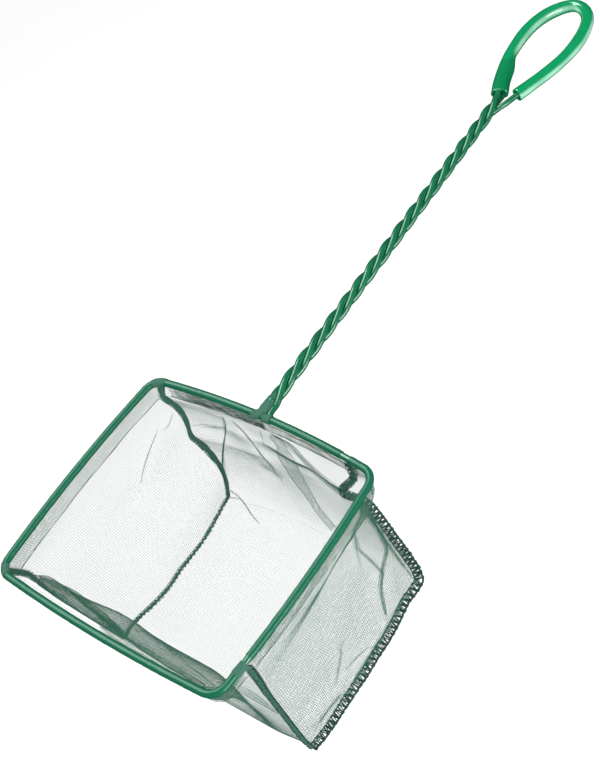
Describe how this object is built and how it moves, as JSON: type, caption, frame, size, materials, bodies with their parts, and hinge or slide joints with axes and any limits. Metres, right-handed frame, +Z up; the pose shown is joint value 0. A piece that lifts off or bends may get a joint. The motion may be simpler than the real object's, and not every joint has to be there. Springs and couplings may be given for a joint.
{
  "type": "aquarium fish net",
  "caption": "Green aquarium fish net: coated wire rim on a twisted wire handle with a sleeved hand loop and a sewn mesh bag",
  "frame": {"origin": "inside the far end of the hand loop, on the line where a hook bears", "axes": "+Y along the handle away from the rim, +Z up out of the bag's mouth, +X across the rim"},
  "size_m": [0.1594, 0.4686, 0.1104],
  "materials": {
    "steel_wire": "drawn steel wire, hidden inside the coat except at its two cut ends",
    "wire_coat": "glossy green vinyl coat",
    "soft_sleeve": "glossy, slightly see-through green tube",
    "mesh_cloth": "fine knitted dark green mesh, see-through",
    "hem_cloth": "the same mesh folded round the wire, several layers deep",
    "seam_thread": "dark green overlock and stitching thread"
  },
  "bodies": {
    "root": {"rim_core": "steel_wire", "rim_coat": "wire_coat", "left_strand_core": "steel_wire", "left_strand_coat": "wire_coat", "right_strand_core": "steel_wire", "right_strand_coat": "wire_coat", "tail_strand_core": "steel_wire", "tail_strand_coat": "wire_coat", "loop_core": "steel_wire", "loop_coat": "wire_coat", "loop_sleeve": "soft_sleeve", "net_strip": "mesh_cloth", "left_end_panel": "mesh_cloth", "right_end_panel": "mesh_cloth", "left_overlock_seam": "seam_thread", "right_overlock_seam": "seam_thread", "handle_hem": "hem_cloth", "left_hem": "hem_cloth", "right_hem": "hem_cloth", "front_hem": "hem_cloth", "hem_stitching": "seam_thread", "base_gather": "hem_cloth"}
  },
  "joints": []
}
